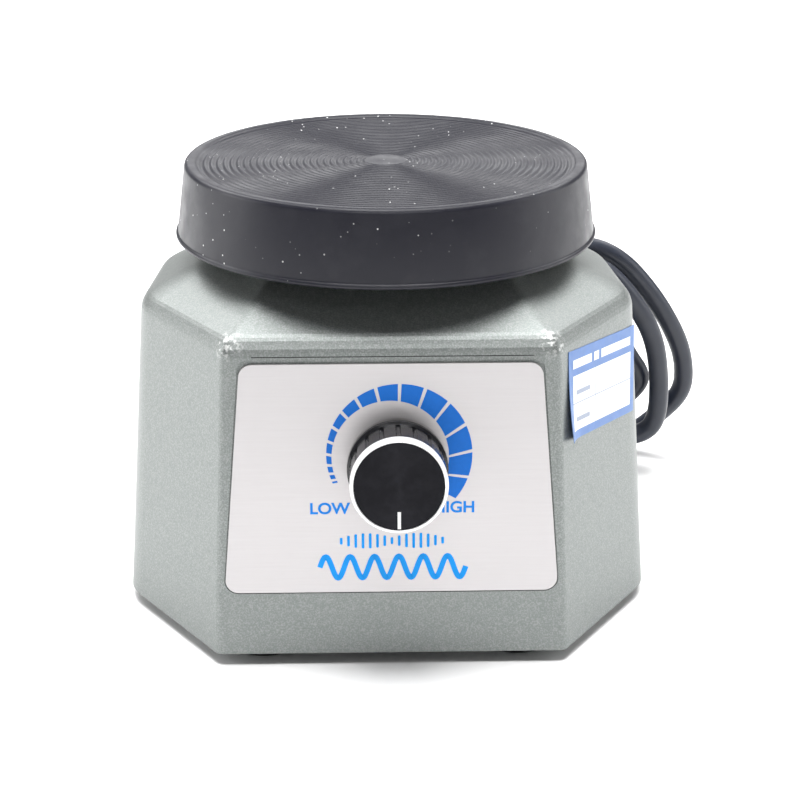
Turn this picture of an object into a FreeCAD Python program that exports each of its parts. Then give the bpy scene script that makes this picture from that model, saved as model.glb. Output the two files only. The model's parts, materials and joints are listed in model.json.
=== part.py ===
import FreeCAD, Part
import math
import os

# Round-table laboratory vibrator, millimetres, +Z up.  The front panel with its knob faces -Y.
# Every piece is made with the table's axis at x = y = 0, then moved by FRAME_SHIFT, so that the
# origin ends up on the surface it stands on, midway between the knob's face and the back wall.
# An octagonal cast housing holds an electromagnet.  The magnet pulls an armature that hangs
# under the table on four rubber mounts, and a potentiometer behind the knob sets the stroke.

Vector = FreeCAD.Vector
UP = Vector(0, 0, 1)
FRAME_SHIFT = Vector(0, 6.4, 0)

# ---- driving dimensions -------------------------------------------------------------------
HALF_DEPTH = 59.3            # flat front and back of the housing's foot at y = +/- this
# Corners of the housing's foot, +X half, front to back; the other half mirrors them.
PLAN = [(43.0, -HALF_DEPTH), (68.0, -17.5), (64.0, 20.0), (43.0, HALF_DEPTH)]
FRONT_ROUND = 2.5            # radius of the vertical edges beside the front
SIDE_ROUND = 18.0            # radius of the vertical edges at either end of a side
DRAFT = 0.0607               # inward lean of the walls, mm per mm of height
WALL = 3.5                   # casting thickness
FOOT_HEIGHT = 3.0            # rubber feet lift the casting this far
RIDGE_Z = 82.0               # where the walls turn into the shoulder
SHOULDER_TOP_Z = 92.5
SHOULDER_INSET = 20.0        # the shoulder leans in by this much on its way up
RIDGE_ROUND = 6.0            # roll from the walls into the shoulder
BROW_ROUND = 12.0            # roll from the shoulder into the flat top
ROLL_STEPS = 6               # chords in each roll

TABLE_TOP_Z = 114.1
TABLE_LIP_Z = 95.0           # lower edge of the rubber skirt
TABLE_TOP_RADIUS = 51.5
TABLE_LIP_RADIUS = 54.0

KNOB_X = 1.5                 # knob axis, across the front face
KNOB_UP = 48.0               # knob axis, measured up the leaning front face
KNOB_RADIUS = 12.0
KNOB_FRONT = 15.0            # knob's face, measured out from the front face
KNOB_FLUTES = 18
SHAFT_RADIUS = 3.0           # potentiometer shaft
BUSHING_RADIUS = 4.5         # threaded bushing that passes through the panel

PANEL_BOTTOM = 16.1          # front panel, a trapezoid measured up the front face
PANEL_TOP = 74.1
PANEL_HALF_BOTTOM = 41.0
PANEL_HALF_TOP = 36.4
PANEL_ROUND = 3.2
PANEL_BACK = -0.8            # floor of the shallow recess behind the panel
PANEL_FRONT = 0.2

LABEL_WIDTH = 39.0           # sticker on the flat to the right of the front
LABEL_HEIGHT = 22.4
LABEL_Z = 65.0               # height of its middle
LABEL_ALONG = 1.4            # how far its middle is past the middle of the flat
LABEL_TURN = -5.5            # degrees that it was stuck on askew

PLATE_THICKNESS = 2.0        # steel base plate
PLATE_TOP = FOOT_HEIGHT + PLATE_THICKNESS
M4_SHANK = 1.95
M4_CLEARANCE = 2.15

CORE_WIDTH = 66.0            # E-shaped lamination stack
CORE_HEIGHT = 44.0
CORE_DEPTH = 28.0
CORE_LIMB = 11.0             # outer limb, the middle one is twice as wide
CORE_Z = 20.0
AIR_GAP = 1.5                # the table's stroke, 0.8 either way, leaves 0.7 of it
LIMB_PLACES = (-(CORE_WIDTH - CORE_LIMB) / 2, (CORE_WIDTH - CORE_LIMB) / 2)
BOLT_Z = CORE_Z + CORE_LIMB / 2

CARRIER_Z = CORE_Z + CORE_HEIGHT + AIR_GAP + CORE_LIMB
CARRIER_THICKNESS = 4.0
STEM_SEAT = CARRIER_Z + CARRIER_THICKNESS
STEM_SCREWS = [(x, y) for x in (-10.6, 10.6) for y in (-10.6, 10.6)]
MOUNT_HEIGHT = 16.0
MOUNT_Z = CARRIER_Z - MOUNT_HEIGHT
MOUNT_PLACES = {"front_left": (-44.0, -10.0), "front_right": (44.0, -10.0),
                "rear_left": (-44.0, 10.0), "rear_right": (44.0, 10.0)}
FOOT_PLACES = {"front_left": (-32.0, -45.0), "front_right": (32.0, -45.0),
               "rear_left": (-32.0, 45.0), "rear_right": (32.0, 45.0)}
BRACKET_HOLES = [(-27.0, 0.0), (27.0, 0.0)]
BOSS_PLACES = [(x, y) for x in (-46.0, 46.0) for y in (-40.0, 40.0)]

CORD_DIAMETER = 5.8
GLAND_X = -30.0              # the cord leaves the back wall here
GLAND_Z = 22.0
RELIEF_LENGTH = 27.0
RELIEF_RIBS = 5
CORD_END = 44.0              # the sheath stops here inside the housing

# The hank of spare cord stands on its edge and leans on the back wall.
HANK_ORIGIN = Vector(44.0, 80.0, 0.0)
HANK_LEAN = 11.3             # degrees off the vertical
HANK_FRONT = 9.0             # faces across its thickness, measured towards the wall
HANK_BACK = -15.0
HANK_LEFT = -56.0            # outline in the hank's own plane, from its origin
HANK_RIGHT = 50.0
HANK_BOTTOM = 2.2
HANK_TOP = 75.0
HANK_LIMB = 20.0             # width of the bundle of turns

# Routes of the free cord, from the gland to the hank and from the hank to the plug.
GLAND_TIP = Vector(GLAND_X, HALF_DEPTH + RELIEF_LENGTH, GLAND_Z)
LEAD_ROUTE = [GLAND_TIP, Vector(GLAND_X, 103, GLAND_Z), Vector(-25, 121, 18.5), Vector(-12, 134, 12.5),
              Vector(6, 138.5, 7), Vector(24, 134, 3.8), Vector(40, 122, 3.6), Vector(58, 104, 3.6),
              Vector(76, 87, 5)]
TAIL_ROUTE = [Vector(-5, 82.5, 47), Vector(-7.5, 85.5, 28), Vector(-18, 87, 12), Vector(-34, 88, 4.2),
              Vector(-50, 93.5, 3.6), Vector(-61.5, 105, 3.6), Vector(-66, 121, 3.6), Vector(-62, 137, 3.6),
              Vector(-50.5, 148.5, 5), Vector(-35, 153.5, 8.5), Vector(-16, 153.5, 10), Vector(4, 153.5, 10)]
PLUG_START = TAIL_ROUTE[-1]


# ---- small helpers ------------------------------------------------------------------------
def box(x0, x1, y0, y1, z0, z1):
    return Part.makeBox(x1 - x0, y1 - y0, z1 - z0, Vector(x0, y0, z0))


def cylinder(radius, x, y, z0, z1):
    return Part.makeCylinder(radius, z1 - z0, Vector(x, y, z0), UP)


def tube(outer, inner, x, y, z0, z1):
    return cylinder(outer, x, y, z0, z1).cut(cylinder(inner, x, y, z0 - 1, z1 + 1))


def hexagon(across_flats, z0, z1):
    radius = across_flats / math.sqrt(3)
    corners = [Vector(radius * math.cos(math.radians(60 * i)), radius * math.sin(math.radians(60 * i)), z0)
               for i in range(7)]
    return Part.Face(Part.makePolygon(corners)).extrude(Vector(0, 0, z1 - z0))


def spun(profile):
    """Solid of revolution about Z from a closed list of (radius, z) points."""
    corners = [Vector(r, 0, z) for r, z in profile]
    return Part.Face(Part.makePolygon(corners + corners[:1])).revolve(Vector(0, 0, 0), UP, 360)


def moved(shape, x=0.0, y=0.0, z=0.0):
    copy = shape.copy()
    copy.translate(Vector(x, y, z))
    return copy


def placed(shape, position, turn):
    copy = shape.copy()
    copy.Placement = FreeCAD.Placement(position, turn).multiply(copy.Placement)
    return copy


def rounded_wire(corners, radii):
    """Closed wire through the corners, each cut back to an arc of its own radius."""
    count = len(corners)
    starts, middles, ends = [], [], []
    for i, corner in enumerate(corners):
        back = (corners[i - 1] - corner).normalize()
        ahead = (corners[(i + 1) % count] - corner).normalize()
        half = back.getAngle(ahead) / 2
        reach = radii[i] / math.tan(half)
        inward = (back + ahead).normalize()
        starts.append(corner + back * reach)
        ends.append(corner + ahead * reach)
        middles.append(corner + inward * (radii[i] / math.sin(half) - radii[i]))
    edges = []
    for i in range(count):
        edges.append(Part.Arc(starts[i], middles[i], ends[i]).toShape())
        edges.append(Part.LineSegment(ends[i], starts[(i + 1) % count]).toShape())
    return Part.Wire(edges)


def rounded_box(x0, x1, y0, y1, z0, z1, radius):
    corners = [Vector(x0, y0, z0), Vector(x1, y0, z0), Vector(x1, y1, z0), Vector(x0, y1, z0)]
    return Part.Face(rounded_wire(corners, [radius] * 4)).extrude(Vector(0, 0, z1 - z0))


# ---- housing outline ----------------------------------------------------------------------
def outline(z, inset):
    """The rounded octagon, moved in by inset all round, at height z."""
    corners = [Vector(x, y, z) for x, y in PLAN] + [Vector(-x, y, z) for x, y in reversed(PLAN)]
    inner = []
    for i, corner in enumerate(corners):
        back = (corners[i - 1] - corner).normalize()
        ahead = (corners[(i + 1) % len(corners)] - corner).normalize()
        half = back.getAngle(ahead) / 2
        inner.append(corner + (back + ahead).normalize() * (inset / math.sin(half)))
    return rounded_wire(inner, [FRONT_ROUND, SIDE_ROUND, SIDE_ROUND, FRONT_ROUND] * 2)


def wall_inset(z):
    return DRAFT * (z - FOOT_HEIGHT)


def rolled(corners, radii):
    """The path through the corners, with every inner one turned into short chords of an arc."""
    path = [corners[0]]
    for before, corner, after, radius in zip(corners, corners[1:], corners[2:], radii):
        back, ahead = (before - corner).normalize(), (after - corner).normalize()
        half = back.getAngle(ahead) / 2
        centre = corner + (back + ahead).normalize() * (radius / math.sin(half))
        start = corner + back * (radius / math.tan(half)) - centre
        end = corner + ahead * (radius / math.tan(half)) - centre
        sweep = math.pi - 2 * half
        for i in range(ROLL_STEPS + 1):
            angle = sweep * i / ROLL_STEPS
            path.append(centre + (start * math.sin(sweep - angle) + end * math.sin(angle))
                        * (1 / math.sin(sweep)))
    return path


def shell_outside():
    """The casting's outside: leaning walls, a rolled ridge, the shoulder and a rolled brow."""
    ridge_inset = wall_inset(RIDGE_Z)
    brow_inset = ridge_inset + SHOULDER_INSET
    corners = [Vector(0, FOOT_HEIGHT, 0), Vector(ridge_inset, RIDGE_Z, 0),
               Vector(brow_inset, SHOULDER_TOP_Z, 0), Vector(brow_inset + BROW_ROUND, SHOULDER_TOP_Z, 0)]
    rings = [outline(point.y, point.x) for point in rolled(corners, [RIDGE_ROUND, BROW_ROUND])]
    return Part.makeLoft(rings, True, True)


def shell_inside():
    """The hollow inside the casting, open at its foot."""
    bottom, ridge, top = FOOT_HEIGHT - 1.0, RIDGE_Z - 0.4 * WALL, SHOULDER_TOP_Z - WALL
    rings = [outline(bottom, wall_inset(bottom) + WALL), outline(ridge, wall_inset(ridge) + WALL),
             outline(top, wall_inset(RIDGE_Z) + SHOULDER_INSET + WALL)]
    return Part.makeLoft(rings, True, True)


def ring_edges(shape, z):
    return [e for e in shape.Edges if abs(e.BoundBox.ZMin - z) < 0.01 and abs(e.BoundBox.ZMax - z) < 0.01]


# ---- front face frame ---------------------------------------------------------------------
def on_front(shape, x=0.0, up=0.0):
    """Place a shape made in (across, up the face, out of the face) on the leaning front."""
    lean = math.degrees(math.atan(DRAFT))
    turn = FreeCAD.Rotation(Vector(1, 0, 0), 90 - lean)
    foot = Vector(0, -HALF_DEPTH, FOOT_HEIGHT)
    return placed(shape, foot + turn.multVec(Vector(x, up, 0)), turn)


def panel_outline(margin, top_margin, out):
    """Trapezoid with rounded corners that follows the front panel."""
    bottom, top = PANEL_BOTTOM - margin, PANEL_TOP + top_margin
    wide, narrow = PANEL_HALF_BOTTOM + margin, PANEL_HALF_TOP + margin
    corners = [Vector(-wide, bottom, out), Vector(wide, bottom, out),
               Vector(narrow, top, out), Vector(-narrow, top, out)]
    return Part.Face(rounded_wire(corners, [PANEL_ROUND + margin] * 4))


def make_front_panel():
    sheet = panel_outline(0, 0, PANEL_BACK).extrude(Vector(0, 0, PANEL_FRONT - PANEL_BACK))
    hole = Part.makeCylinder(BUSHING_RADIUS + 0.3, 6, Vector(KNOB_X, KNOB_UP, -3), UP)
    return on_front(sheet.cut(hole))


# ---- casting and base ---------------------------------------------------------------------
def make_housing():
    outside = shell_outside()
    housing = outside.cut(shell_inside())
    for x, y in BOSS_PLACES:
        boss = cylinder(5.0, x, y, PLATE_TOP, 30).common(outside)
        housing = housing.fuse(boss).cut(cylinder(2.05, x, y, PLATE_TOP - 1, 22))
    neck = cylinder(19.0, 0, 0, SHOULDER_TOP_Z - WALL, SHOULDER_TOP_Z + 0.01)
    housing = housing.fuse(neck).cut(cylinder(12.0, 0, 0, 80, 100))
    recess = panel_outline(0.3, 1.9, PANEL_BACK).extrude(Vector(0, 0, 5))
    housing = housing.cut(on_front(recess))
    shaft_hole = Part.makeCylinder(BUSHING_RADIUS + 0.2, 30, Vector(0, 0, -15), UP)
    housing = housing.cut(on_front(shaft_hole, KNOB_X, KNOB_UP))
    gland_hole = Part.makeCylinder(6.2, 20, Vector(GLAND_X, HALF_DEPTH - 12, GLAND_Z), Vector(0, 1, 0))
    return housing.cut(gland_hole).removeSplitter()


def make_base_plate():
    inset = WALL + 0.4 + wall_inset(PLATE_TOP)
    plate = Part.Face(outline(FOOT_HEIGHT, inset)).extrude(Vector(0, 0, PLATE_THICKNESS))
    for x, y in BOSS_PLACES + list(FOOT_PLACES.values()) + list(MOUNT_PLACES.values()) + BRACKET_HOLES:
        plate = plate.cut(cylinder(M4_CLEARANCE, x, y, 0, 20))
    return plate


def pan_screw(x, y, z_seat, length, downward=False):
    """Cross-head screw with its head under z_seat, or over it when it points down."""
    head = spun([(0, 0), (0, -1.6), (2.2, -1.6), (3.4, -0.8), (3.4, 0)])
    slot = box(-2.2, 2.2, -0.4, 0.4, -2, -0.7).fuse(box(-0.4, 0.4, -2.2, 2.2, -2, -0.7))
    screw = head.cut(slot).fuse(cylinder(M4_SHANK, 0, 0, 0, length)).removeSplitter()
    if downward:
        screw.rotate(Vector(0, 0, 0), Vector(1, 0, 0), 180)
    return moved(screw, x, y, z_seat)


def make_foot(x, y):
    """Rubber foot with a pocket under it for its screw's head."""
    profile = [(4.2, 0), (9.2, 0), (10, 0.8), (9, FOOT_HEIGHT), (2.2, FOOT_HEIGHT), (2.2, 1.9), (4.2, 1.9)]
    return moved(spun(profile), x, y)


def make_foot_nut(x, y):
    return moved(hexagon(7.0, 0, 3.2).cut(cylinder(2.05, 0, 0, -1, 5)), x, y, PLATE_TOP)


# ---- electromagnet ------------------------------------------------------------------------
def make_core():
    half = CORE_WIDTH / 2
    core = box(-half, half, -CORE_DEPTH / 2, CORE_DEPTH / 2, CORE_Z, CORE_Z + CORE_HEIGHT)
    for side in (-1, 1):
        x0, x1 = sorted((side * CORE_LIMB, side * (half - CORE_LIMB)))
        core = core.cut(box(x0, x1, -50, 50, CORE_Z + CORE_LIMB, 100))
    for x in LIMB_PLACES:
        core = core.cut(Part.makeCylinder(M4_CLEARANCE, 60, Vector(x, -30, BOLT_Z), Vector(0, 1, 0)))
    return core


def make_core_bracket():
    """Channel that lifts the core off the base plate and grips it front and back."""
    half, deep, sheet = CORE_WIDTH / 2, CORE_DEPTH / 2, 2.0
    top = CORE_Z
    bracket = box(-half, half, -deep - sheet, deep + sheet, top - sheet, top)
    for side in (-1, 1):
        y0, y1 = sorted((side * (deep + 0.05), side * (deep + sheet)))
        bracket = bracket.fuse(box(-half, half, y0, y1, top - sheet, top + 10.5))
    for x0, x1 in ((-half, -half + sheet), (half - sheet, half)):
        bracket = bracket.fuse(box(x0, x1, -deep - sheet, deep + sheet, PLATE_TOP, top))
    for x0, x1 in ((-half, -23), (23, half)):
        bracket = bracket.fuse(box(x0, x1, -deep - sheet, deep + sheet, PLATE_TOP, PLATE_TOP + sheet))
    for x in LIMB_PLACES:
        bracket = bracket.cut(Part.makeCylinder(M4_CLEARANCE, 60, Vector(x, -30, BOLT_Z), Vector(0, 1, 0)))
    for x, y in BRACKET_HOLES:
        bracket = bracket.cut(cylinder(M4_CLEARANCE, x, y, 0, PLATE_TOP + 4))
    return bracket.removeSplitter()


def make_core_bolts():
    """Two bolts across the stack, with a nut behind."""
    bolts = []
    for x in LIMB_PLACES:
        bolt = hexagon(7.0, 16.05, 19).fuse(cylinder(2.0, 0, 0, -20, 16.05))
        nut = hexagon(7.0, -19.2, -16.05).cut(cylinder(2.0, 0, 0, -25, 25))
        bolt = bolt.fuse(nut).removeSplitter()
        bolt.rotate(Vector(0, 0, 0), Vector(1, 0, 0), 90)
        bolts.append(moved(bolt, x, 0, BOLT_Z))
    return Part.makeCompound(bolts)


def bobbin_box(grow, z0, z1):
    """Rounded block round the middle limb, grown sideways by grow."""
    return rounded_box(-CORE_LIMB - grow, CORE_LIMB + grow, -CORE_DEPTH / 2 - grow, CORE_DEPTH / 2 + grow,
                       z0, z1, max(0.5, grow * 0.6))


def make_bobbin():
    z0, z1 = CORE_Z + CORE_LIMB + 0.2, CORE_Z + CORE_HEIGHT - 1.0
    bobbin = bobbin_box(1.4, z0, z1)
    bobbin = bobbin.fuse(bobbin_box(10.4, z0, z0 + 1.5)).fuse(bobbin_box(10.4, z1 - 1.5, z1))
    return bobbin.cut(bobbin_box(0.2, z0 - 1, z1 + 1)).removeSplitter()


def make_winding():
    z0, z1 = CORE_Z + CORE_LIMB + 1.8, CORE_Z + CORE_HEIGHT - 2.6
    return bobbin_box(9.2, z0, z1).cut(bobbin_box(1.5, z0 - 1, z1 + 1))


# ---- sprung table -------------------------------------------------------------------------
def make_post(x, y):
    post = cylinder(5.0, x, y, PLATE_TOP, MOUNT_Z)
    return post.cut(cylinder(2.0, x, y, PLATE_TOP - 1, PLATE_TOP + 10))


def make_rubber_mount(x, y):
    h = MOUNT_HEIGHT
    profile = [(0, 0), (6.5, 0), (6.5, 1.4), (5.6, 2.0), (5.0, h * 0.35), (4.8, h / 2), (5.0, h * 0.65),
               (5.6, h - 2.0), (6.5, h - 1.4), (6.5, h), (0, h)]
    return moved(spun(profile), x, y, MOUNT_Z)


def make_carrier():
    plate = rounded_box(-53, 53, -18, 18, CARRIER_Z, STEM_SEAT, 6)
    for x in LIMB_PLACES:
        plate = plate.cut(cylinder(2.1, x, 0, 0, 200))
    for x, y in STEM_SCREWS:
        plate = plate.cut(cylinder(2.0, x, y, 0, 200))
    return plate


def make_armature():
    half, deep = CORE_WIDTH / 2, CORE_DEPTH / 2
    bar = box(-half, half, -deep, deep, CARRIER_Z - CORE_LIMB, CARRIER_Z)
    for x in LIMB_PLACES:
        bar = bar.cut(cylinder(2.05, x, 0, CARRIER_Z - 8, CARRIER_Z + 1))
    return bar


def make_stem():
    seat = STEM_SEAT
    stem = spun([(0, seat), (18.5, seat), (18.5, seat + 3.5), (9.0, seat + 5.5), (9.0, 96), (0, 96)])
    for x, y in STEM_SCREWS:
        stem = stem.cut(cylinder(2.1, x, y, seat - 1, seat + 3.5))
        stem = stem.cut(cylinder(4.0, x, y, seat + 3.5, seat + 8))
    return stem.cut(cylinder(3.0, 0, 0, 82, 100))


def make_table_disc():
    """Turned disc with a hub below, a rim that grips the rubber, and a countersink on top."""
    profile = [(3.1, 96), (15, 96), (15, 104), (16, 105.3), (43.2, 105.3), (44.4, 104), (44.4, 98.2),
               (46.4, 98.2), (47.3, 99), (47.3, 109.6), (46.6, 110.4), (6.4, 110.4), (3.1, 107.1)]
    return spun(profile)


def make_table_screw():
    screw = spun([(0, 84), (2.9, 84), (2.9, 107.0), (6.1, 110.2), (0, 110.2)])
    return screw.cut(hexagon(4.0, 107.6, 112))


def make_rubber_cap():
    lip, top, rim = TABLE_LIP_Z, TABLE_TOP_Z, TABLE_TOP_RADIUS
    profile = [(0, top - 0.6), (48.0, top - 0.6), (48.6, top), (rim - 1.2, top), (rim - 0.3, top - 0.5),
               (rim, top - 1.6), (TABLE_LIP_RADIUS - 0.2, lip + 1.6), (TABLE_LIP_RADIUS, lip + 0.9),
               (TABLE_LIP_RADIUS - 0.4, lip + 0.2), (TABLE_LIP_RADIUS - 1.0, lip), (48.5, lip),
               (46.0, lip + 1.2), (46.0, 98.0), (47.5, 98.0), (47.5, 110.6), (0, 110.6)]
    return spun(profile)


def make_neck_gasket():
    return spun([(9.5, 88.5), (11.8, 88.5), (11.8, 92.6), (17.5, 92.6), (17.5, 93.8), (9.5, 94.0)])


# ---- potentiometer and knob, in the front face frame --------------------------------------
def turned(profile):
    return on_front(spun(profile), KNOB_X, KNOB_UP)


def make_pot_case():
    bore = SHAFT_RADIUS + 0.06
    can = [(bore, -15.5), (12.0, -15.5), (12.0, -4.0), (BUSHING_RADIUS, -4.0), (BUSHING_RADIUS, 4.2),
           (bore, 4.2), (bore, -6.0), (10.5, -6.0), (10.5, -13.5), (bore, -13.5)]
    return turned(can)


def make_pot_terminals():
    tabs = []
    for x in (-5, 0, 5):
        tab = box(x - 1, x + 1, -17.5, -9.0, -5.2, -4.4).fuse(box(x - 1, x + 1, -17.5, -16.7, -8.0, -4.4))
        tabs.append(tab.removeSplitter().cut(cylinder(12.0, 0, 0, -16, 0)))
    return on_front(Part.makeCompound(tabs), KNOB_X, KNOB_UP)


def make_pot_washer():
    return turned([(4.6, PANEL_FRONT), (8.0, PANEL_FRONT), (8.0, 0.8), (4.6, 0.8)])


def make_pot_nut():
    nut = hexagon(12.0, 0.8, 3.0).cut(cylinder(4.6, 0, 0, 0, 5))
    return on_front(nut, KNOB_X, KNOB_UP)


def make_pot_shaft():
    shaft = cylinder(SHAFT_RADIUS, 0, 0, -15.0, 12.4).cut(box(-4, 4, -4, -1.6, 5.5, 13))
    return on_front(shaft, KNOB_X, KNOB_UP)


def make_pot_wiper():
    disc = tube(9.6, SHAFT_RADIUS + 0.05, 0, 0, -10.4, -8.8)
    wiper = disc.fuse(box(4, 9.4, -1.2, 1.2, -8.8, -7.0)).removeSplitter()
    return on_front(wiper, KNOB_X, KNOB_UP)


def make_knob_skirt():
    r = KNOB_RADIUS
    body = spun([(8.6, 0.8), (r + 0.3, 0.8), (r + 0.3, 2.0), (r - 0.3, 2.4), (r - 0.3, 12.6),
                 (9.6, 12.6), (9.6, 13.6), (0, 13.6), (0, 4.6), (8.6, 4.6)])
    for i in range(KNOB_FLUTES):
        angle = 2 * math.pi * (i + 0.5) / KNOB_FLUTES
        x, y = (r + 0.1) * math.cos(angle), (r + 0.1) * math.sin(angle)
        body = body.cut(cylinder(0.75, x, y, 2.7, 12.9))
    bore = cylinder(SHAFT_RADIUS + 0.03, 0, 0, 0, 12.6).cut(box(-4, 4, -4, -1.65, 5.7, 13))
    screw_hole = Part.makeCylinder(1.6, 12, Vector(0, -1, 8.6), Vector(0, -1, 0))
    return on_front(body.cut(bore).cut(screw_hole), KNOB_X, KNOB_UP)


def make_knob_ring():
    r = KNOB_RADIUS
    return turned([(9.7, 12.65), (r - 0.25, 12.65), (r - 0.2, 14.3), (r - 0.35, 14.7), (r - 0.9, 15.1),
                   (10.95, 15.0), (10.95, 14.0), (9.7, 14.0)])


def make_knob_face():
    face = cylinder(10.85, 0, 0, 14.0, 14.95).fuse(cylinder(9.5, 0, 0, 13.65, 14.0)).removeSplitter()
    return on_front(face.cut(pointer_block(14.5, 16)), KNOB_X, KNOB_UP)


def pointer_block(z0, z1):
    return box(-0.4, 0.4, -10.6, -6.3, z0, z1)


def make_knob_pointer():
    return on_front(pointer_block(14.52, KNOB_FRONT), KNOB_X, KNOB_UP)


def make_set_screw():
    screw = Part.makeCylinder(1.5, 7.2, Vector(0, -1.7, 8.6), Vector(0, -1, 0))
    socket = Part.makeCylinder(0.7, 3, Vector(0, -7.5, 8.6), Vector(0, -1, 0))
    return on_front(screw.cut(socket), KNOB_X, KNOB_UP)


# ---- electrics ----------------------------------------------------------------------------
BOARD_Z = 11.0
BOARD_TOP = BOARD_Z + 1.6
BOARD_HOLES = [(-22.0, -47.0), (20.0, -47.0), (-36.0, -31.0), (30.0, -31.0)]


def make_board():
    board = box(-39, 33.5, -50, -28, BOARD_Z, BOARD_TOP)
    for x, y in BOARD_HOLES:
        board = board.cut(cylinder(1.7, x, y, 0, 50))
    return board


def make_standoffs():
    posts = []
    for x, y in BOARD_HOLES:
        posts.append(tube(2.8, 1.65, x, y, PLATE_TOP, BOARD_Z))
    return Part.makeCompound(posts)


def make_board_screws():
    screws = []
    for x, y in BOARD_HOLES:
        shank = cylinder(1.5, x, y, PLATE_TOP + 0.5, BOARD_TOP)
        screws.append(shank.fuse(cylinder(2.7, x, y, BOARD_TOP, BOARD_TOP + 1.8)).removeSplitter())
    return Part.makeCompound(screws)


def make_heatsink():
    sink = box(10, 26, -38, -36, BOARD_TOP, 32)
    for x in (10, 14.8, 19.6, 24.4):
        sink = sink.fuse(box(x, x + 1.6, -38, -31, BOARD_TOP + 2, 32))
    return sink.removeSplitter()


def make_triac():
    body = box(13, 23, -42.6, -38.05, 17, 26).fuse(box(13, 23, -39.4, -38.05, 26, 31))
    for x in (15, 18, 21):
        body = body.fuse(box(x - 0.4, x + 0.4, -41, -40.4, BOARD_TOP, 17))
    return body.removeSplitter()


def make_capacitor():
    return rounded_box(-12, 6, -40, -31, BOARD_TOP, 26, 1.2)


def make_terminal_block():
    block = box(-34, -16, -44, -34, BOARD_TOP, 23)
    for x in (-31, -25, -19):
        block = block.cut(cylinder(1.8, x, -39, 19, 30))
        block = block.cut(Part.makeCylinder(1.3, 5, Vector(x, -37, 16), Vector(0, 1, 0)))
    return block


def make_earth_screw():
    """Earth tag and its screw on the base plate."""
    x, y, tag_top = 20, 36, PLATE_TOP + 0.8
    tag = tube(4.0, M4_CLEARANCE, x, y, PLATE_TOP, tag_top)
    tag = tag.fuse(box(x + 3.5, x + 10, y - 1.5, y + 1.5, PLATE_TOP, tag_top))
    head = moved(hexagon(7.0, tag_top, tag_top + 2.8), x, y)
    return tag.fuse(head).removeSplitter()


# ---- cord ---------------------------------------------------------------------------------
def route_tube(points, radius, label=None):
    """A tube along straight runs joined by tangent arcs as large as the runs allow."""
    edges, radii = [], []
    here = points[0]
    for before, corner, after in zip(points, points[1:], points[2:]):
        back, ahead = before - corner, after - corner
        shorter = min(back.Length, ahead.Length)
        back.normalize()
        ahead.normalize()
        half_turn = (math.pi - back.getAngle(ahead)) / 2
        reach = 0.45 * shorter
        bend = reach / math.tan(half_turn)
        radii.append(bend)
        start, end = corner + back * reach, corner + ahead * reach
        depth = bend / math.cos(half_turn) - bend
        middle = corner + (back + ahead).normalize() * depth
        edges.append(Part.LineSegment(here, start).toShape())
        edges.append(Part.Arc(start, middle, end).toShape())
        here = end
    edges.append(Part.LineSegment(here, points[-1]).toShape())
    wire = Part.Wire(edges)
    ring = Part.Wire(Part.makeCircle(radius, points[0], points[1] - points[0]))
    solid = wire.makePipeShell([ring], True, True)
    length = sum(e.Length for e in edges)
    if label:
        print(label, "length", round(length, 1), "radii", [round(r, 1) for r in radii],
              "volume ratio", round(solid.Volume / (math.pi * radius * radius * length), 4))
    return solid


def in_hank(shape):
    """Place a shape made in the hank's own plane: across, up the lean, towards the wall."""
    return placed(shape, HANK_ORIGIN, FreeCAD.Rotation(Vector(1, 0, 0), 90 + HANK_LEAN))


def hank_outline(margin, z):
    """The turns' outline: wide and flat where they rest, round on top."""
    left, right = HANK_LEFT + margin, HANK_RIGHT - margin
    bottom, top = HANK_BOTTOM + margin, HANK_TOP - margin
    corners = [Vector(left, bottom, z), Vector(right, bottom, z),
               Vector(right, top, z), Vector(left, top, z)]
    radii = [14.0 - 0.3 * margin] * 2 + [34.0 - 0.9 * margin] * 2
    return Part.Face(rounded_wire(corners, radii))


def make_hank():
    thickness = HANK_FRONT - HANK_BACK
    ring = hank_outline(0, HANK_BACK).extrude(Vector(0, 0, thickness))
    hole = hank_outline(HANK_LIMB, HANK_BACK - 1).extrude(Vector(0, 0, thickness + 2))
    return in_hank(ring.cut(hole))


def make_cord_tie():
    """Twist tie round the left limb of the hank."""
    x0, x1 = HANK_LEFT - 0.4, HANK_LEFT + HANK_LIMB + 0.4
    y0, y1 = -HANK_FRONT - 0.4, -HANK_BACK + 0.4
    band = rounded_box(x0 - 1.0, x1 + 1.0, y0 - 1.0, y1 + 1.0, 34, 40, 2.5)
    band = band.cut(box(x0, x1, y0, y1, 30, 50))
    band.rotate(Vector(0, 0, 0), Vector(1, 0, 0), -90)
    return in_hank(band)


def make_strain_relief():
    """Tapered boot with a flange on each side of the back wall."""
    wall_out = HALF_DEPTH - wall_inset(GLAND_Z)
    wall_in = wall_out - WALL
    profile = [(3.0, wall_in - 3.5), (8.0, wall_in - 3.5), (8.0, wall_in - 0.6), (6.0, wall_in - 0.6),
               (6.0, wall_out + 0.6), (8.6, wall_out + 0.6), (8.6, wall_out + 2.4), (6.6, wall_out + 3.2),
               (4.3, GLAND_TIP.y), (3.0, GLAND_TIP.y)]
    boot = spun(profile)
    for i in range(RELIEF_RIBS):
        y = wall_out + 7 + 3.6 * i
        boot = boot.cut(tube(8.0, 4.6 - 0.12 * i, 0, 0, y, y + 1.4))
    boot.rotate(Vector(0, 0, 0), Vector(1, 0, 0), -90)
    return moved(boot, GLAND_X, 0, GLAND_Z)


def make_cord_inner():
    length = GLAND_TIP.y - CORD_END
    return Part.makeCylinder(CORD_DIAMETER / 2, length, Vector(GLAND_X, CORD_END, GLAND_Z), Vector(0, 1, 0))


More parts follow.
